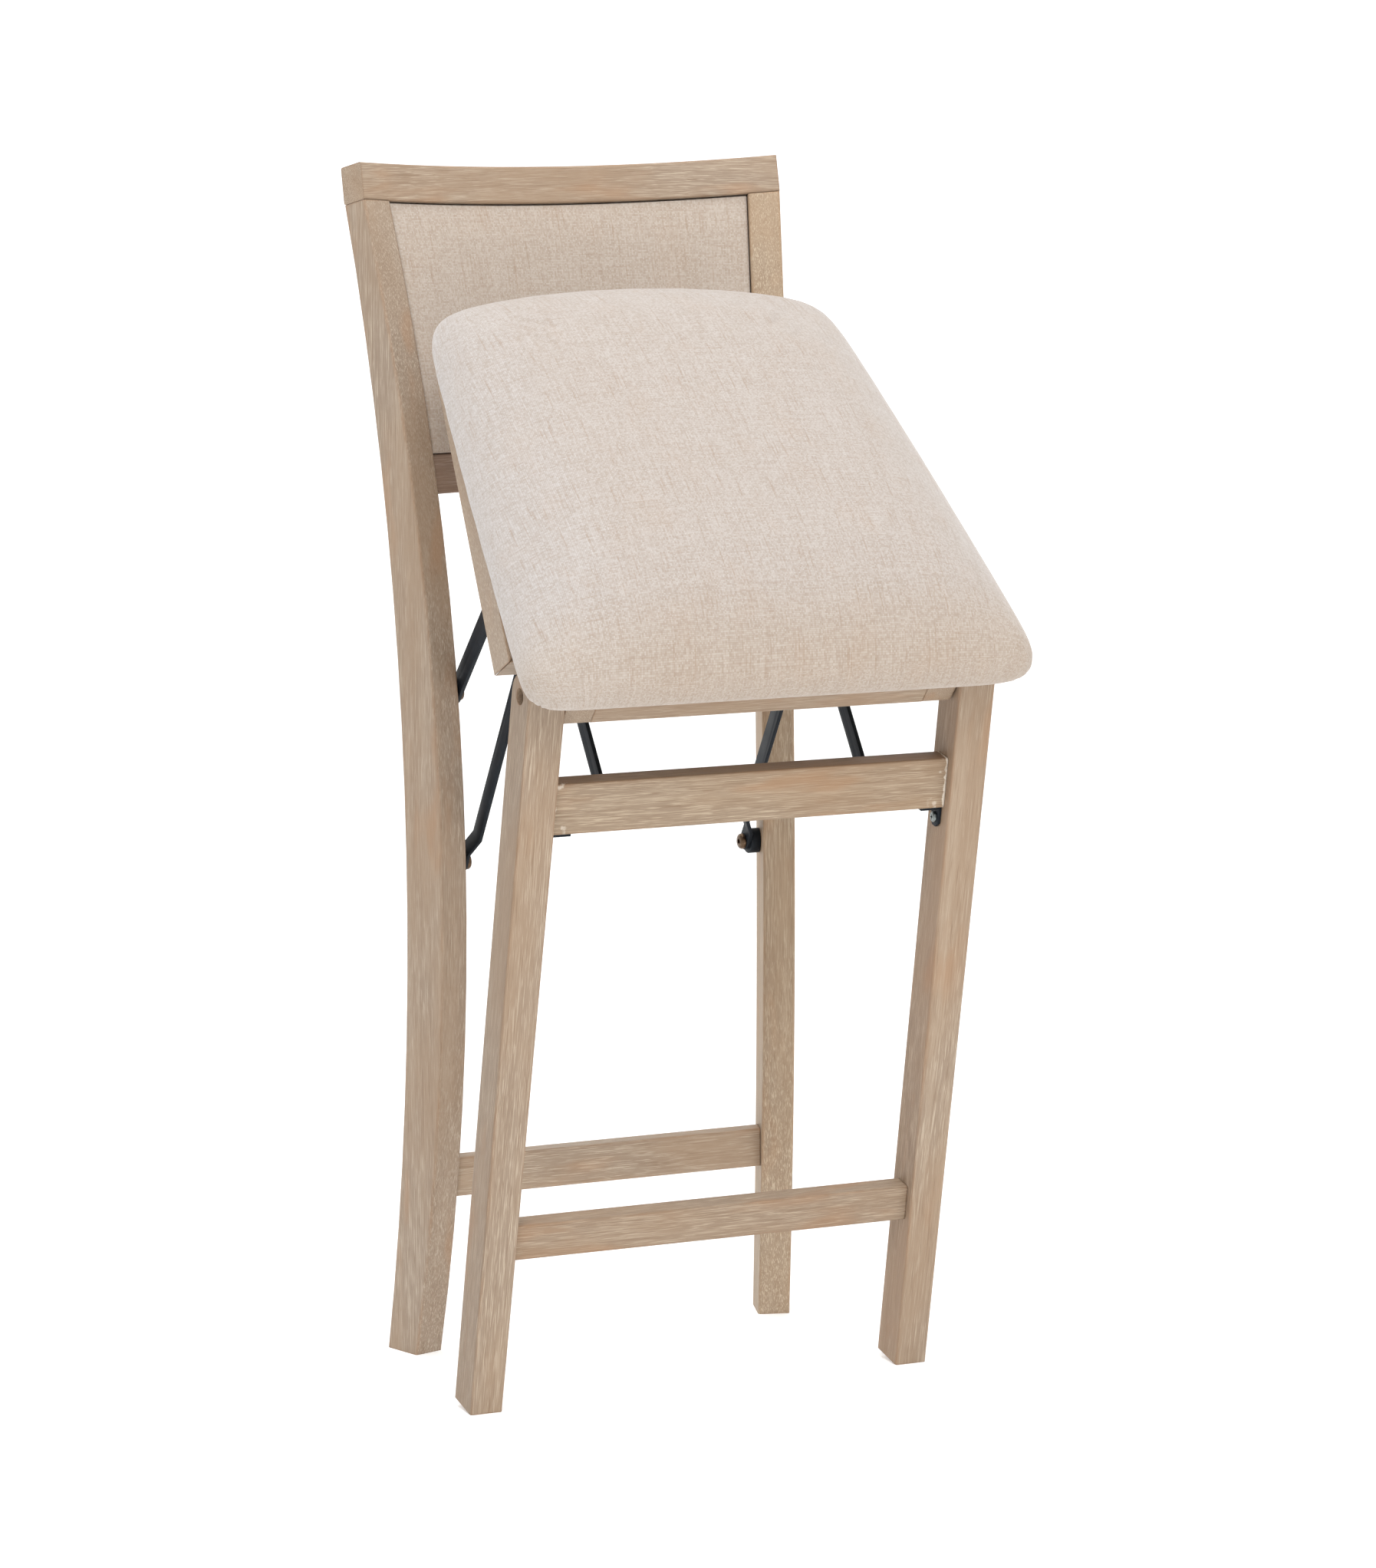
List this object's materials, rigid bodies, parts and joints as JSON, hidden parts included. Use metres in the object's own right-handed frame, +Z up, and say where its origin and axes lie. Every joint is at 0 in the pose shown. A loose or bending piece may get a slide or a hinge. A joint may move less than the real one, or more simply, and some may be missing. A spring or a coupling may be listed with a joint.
{
  "type": "folding bar stool",
  "caption": "Folding wooden bar stool with padded seat and curved padded back, half folded; steel link bars tie seat, front frame and rear frame.",
  "frame": {"origin": "on the floor, at the middle of the stool's outline seen from above", "axes": "+Z up, +X to the right when the stool is seen from the front, -Y towards the front of the seat"},
  "size_m": [0.4726, 0.5356, 1.0763],
  "materials": {
    "wood": "grey-washed, matt, open grain",
    "upholstery": "linen basket weave",
    "board": "bare plywood",
    "dark_steel": "satin powder coat",
    "bronze_hardware": "antique bronze"
  },
  "bodies": {
    "rear_frame": {"rear_leg_left": "wood", "rear_leg_right": "wood", "top_rail": "wood", "lower_back_rail": "wood", "rear_stretcher": "wood", "back_pad": "upholstery", "back_board": "board", "upper_spacer_left": "dark_steel", "upper_spacer_right": "dark_steel", "lower_spacer_left": "dark_steel", "lower_spacer_right": "dark_steel", "upper_link_bolt_left": "bronze_hardware", "upper_link_bolt_right": "bronze_hardware", "lower_link_bolt_left": "bronze_hardware", "lower_link_bolt_right": "bronze_hardware"},
    "front_frame": {"front_leg_left": "wood", "front_leg_right": "wood", "upper_front_stretcher": "wood", "lower_front_stretcher": "wood", "corner_bracket_left": "dark_steel", "corner_bracket_right": "dark_steel", "corner_screw_left": "bronze_hardware", "corner_screw_right": "bronze_hardware", "bar_bracket_left": "dark_steel", "bar_bracket_right": "dark_steel", "bar_rivet_left": "bronze_hardware", "bar_rivet_right": "bronze_hardware"},
    "seat": {"seat_front_rail": "wood", "seat_cross_member": "wood", "seat_rear_rail": "wood", "seat_board": "board", "seat_cushion": "upholstery", "seat_side_rail_left": "wood", "seat_side_rail_right": "wood", "pivot_arm_left": "wood", "pivot_arm_right": "wood", "seat_bolt_left": "bronze_hardware", "seat_bolt_right": "bronze_hardware", "seat_washer_left": "dark_steel", "seat_washer_right": "dark_steel", "upper_link_bracket_left": "dark_steel", "upper_link_bracket_right": "dark_steel", "lower_link_bracket_left": "dark_steel", "lower_link_bracket_right": "dark_steel", "upper_seat_bolt_left": "bronze_hardware", "upper_seat_bolt_right": "bronze_hardware", "lower_seat_rivet_left": "bronze_hardware", "lower_seat_rivet_right": "bronze_hardware"},
    "upper_links": {"upper_link_left": "dark_steel", "upper_link_right": "dark_steel"},
    "lower_links": {"lower_link_left": "dark_steel", "lower_link_right": "dark_steel", "link_stub_left": "bronze_hardware", "link_stub_right": "bronze_hardware", "crossing_stub_left": "bronze_hardware", "crossing_stub_right": "bronze_hardware"},
    "front_bars": {"front_bar_left": "dark_steel", "front_bar_right": "dark_steel", "crossing_head_left": "bronze_hardware", "crossing_head_right": "bronze_hardware"}
  },
  "joints": [
    {"name": "fold", "type": "hinge", "parent": "rear_frame", "child": "upper_links", "pos_m": [0, 0.13523, 0.6047], "axis": [1, 0, 0], "range_deg": [-20, 32.4]},
    {"name": "seat_on_links", "type": "hinge", "parent": "upper_links", "child": "seat", "pos_m": [0, -0.04689, 0.78719], "axis": [1, 0, 0], "range_deg": [-74.5, 46.1]},
    {"name": "front_legs_on_seat", "type": "hinge", "parent": "seat", "child": "front_frame", "pos_m": [0, -0.19116, 0.6433], "axis": [1, 0, 0], "range_deg": [-24.3, 39.2]},
    {"name": "lower_links_on_legs", "type": "hinge", "parent": "rear_frame", "child": "lower_links", "pos_m": [0, 0.13723, 0.451], "axis": [1, 0, 0], "range_deg": [-17.2, 27.7]},
    {"name": "front_bars_on_frame", "type": "hinge", "parent": "front_frame", "child": "front_bars", "pos_m": [0, -0.1498, 0.54072], "axis": [1, 0, 0], "range_deg": [-31.8, 19.7]}
  ],
  "couplings": [
    {"joint": "seat_on_links", "follows": "fold", "ratio": -2.289},
    {"joint": "front_legs_on_seat", "follows": "fold", "ratio": 1.2},
    {"joint": "lower_links_on_legs", "follows": "fold", "ratio": 0.846},
    {"joint": "front_bars_on_frame", "follows": "fold", "ratio": -0.972}
  ]
}
